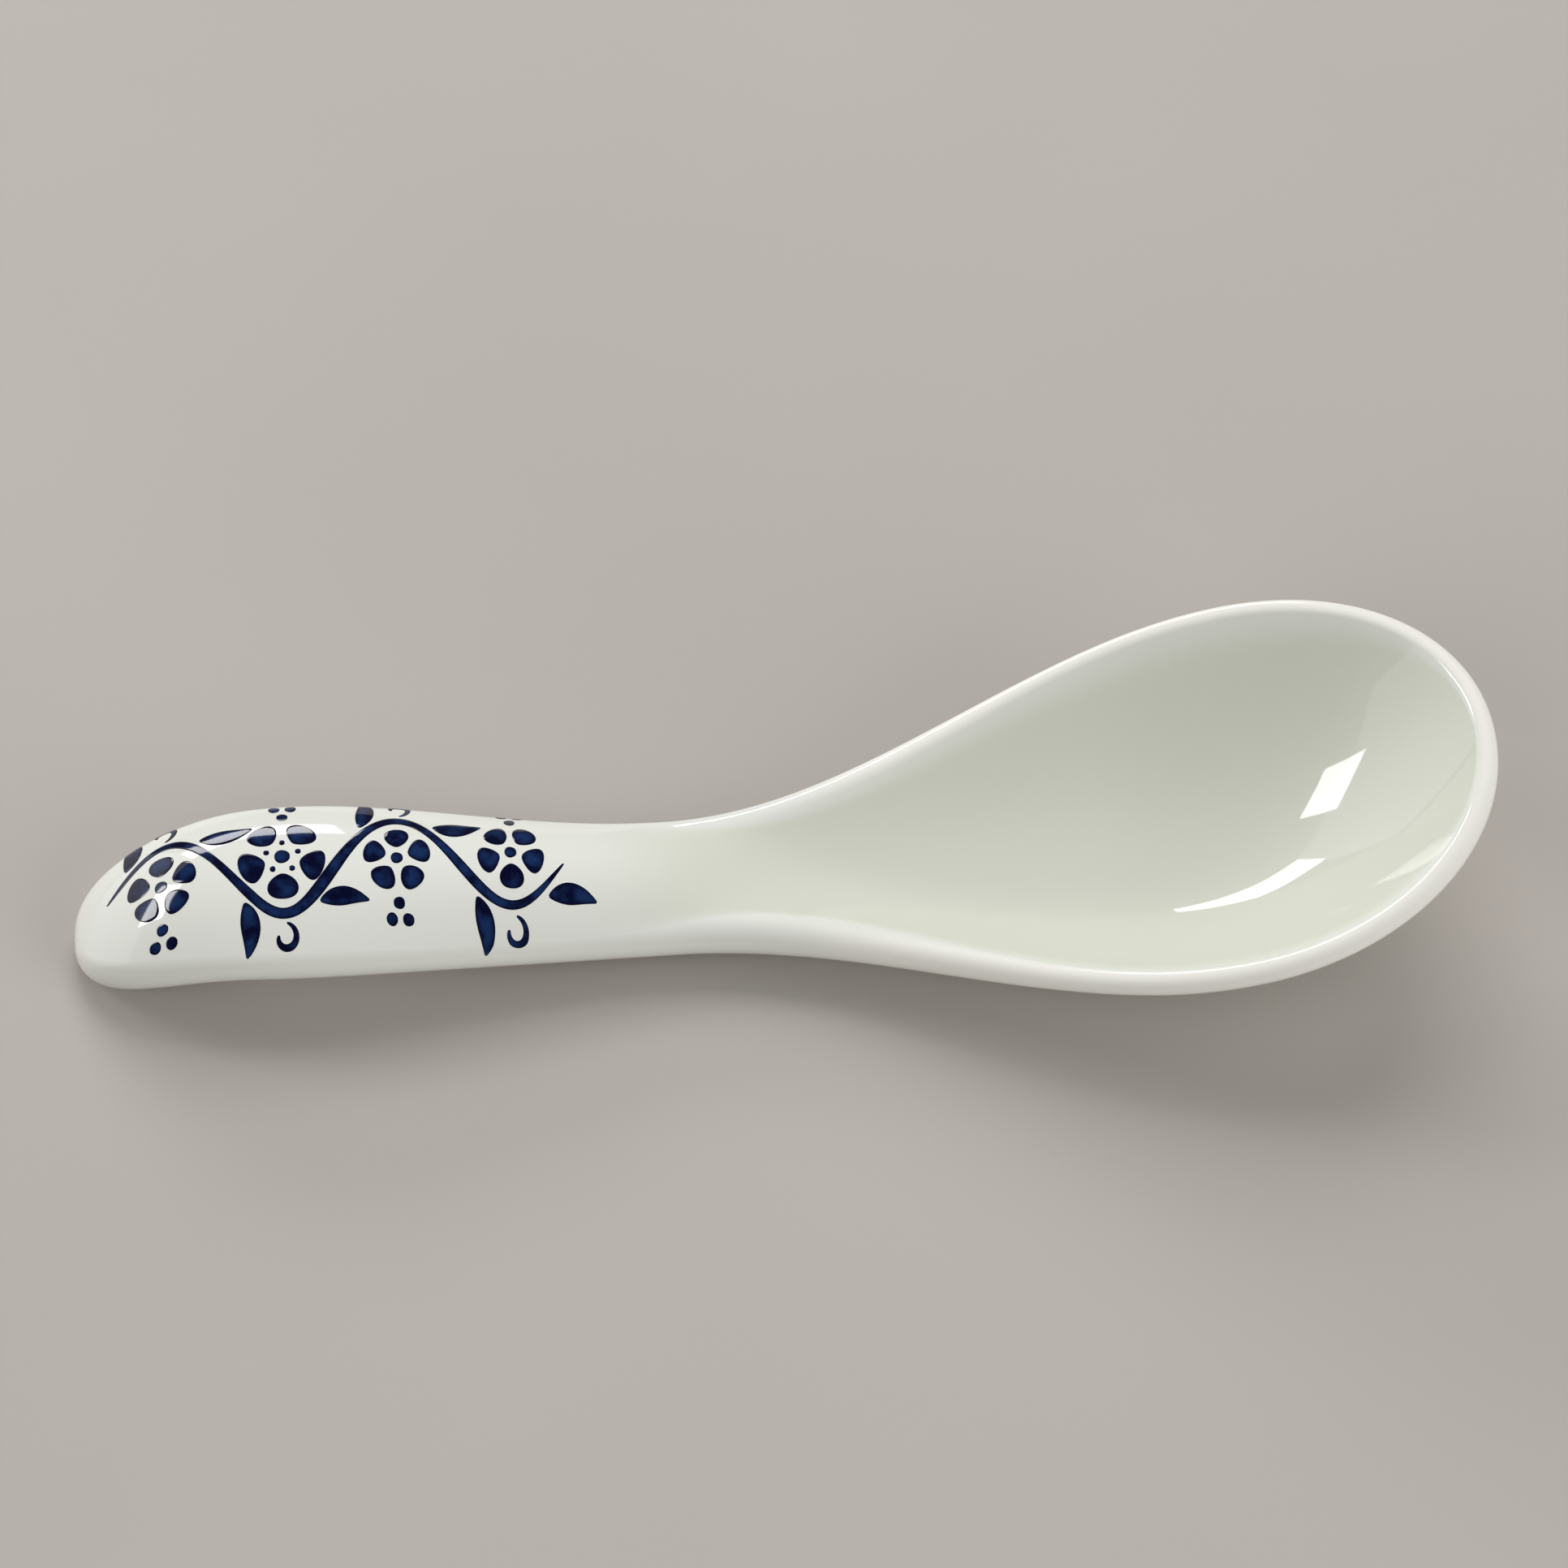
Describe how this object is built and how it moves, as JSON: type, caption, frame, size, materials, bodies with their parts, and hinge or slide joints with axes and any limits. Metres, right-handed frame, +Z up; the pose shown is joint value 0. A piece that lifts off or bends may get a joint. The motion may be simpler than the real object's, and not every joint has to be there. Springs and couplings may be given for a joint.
{
  "type": "chinese soup spoon",
  "caption": "Glazed porcelain soup spoon with a deep egg-shaped bowl and a short crowned handle that hooks down to the table, with a blue vine print.",
  "frame": {"origin": "on the table, under the middle of the spoon's box", "axes": "+X from the handle's end to the bowl's nose, +Z up out of the bowl"},
  "size_m": [0.14, 0.045, 0.0224],
  "materials": {
    "porcelain": "unglazed, fine matt biscuit",
    "glaze": "glossy, faintly green-white",
    "cobalt": "glossy, dark cobalt blue"
  },
  "bodies": {
    "root": {"porcelain_body": "porcelain", "glaze_coat": "glaze", "vine_print": "cobalt", "tendril_print": "cobalt", "leaf_print": "cobalt", "large_blossom_print": "cobalt", "small_blossom_print": "cobalt", "berry_print": "cobalt"}
  },
  "joints": []
}
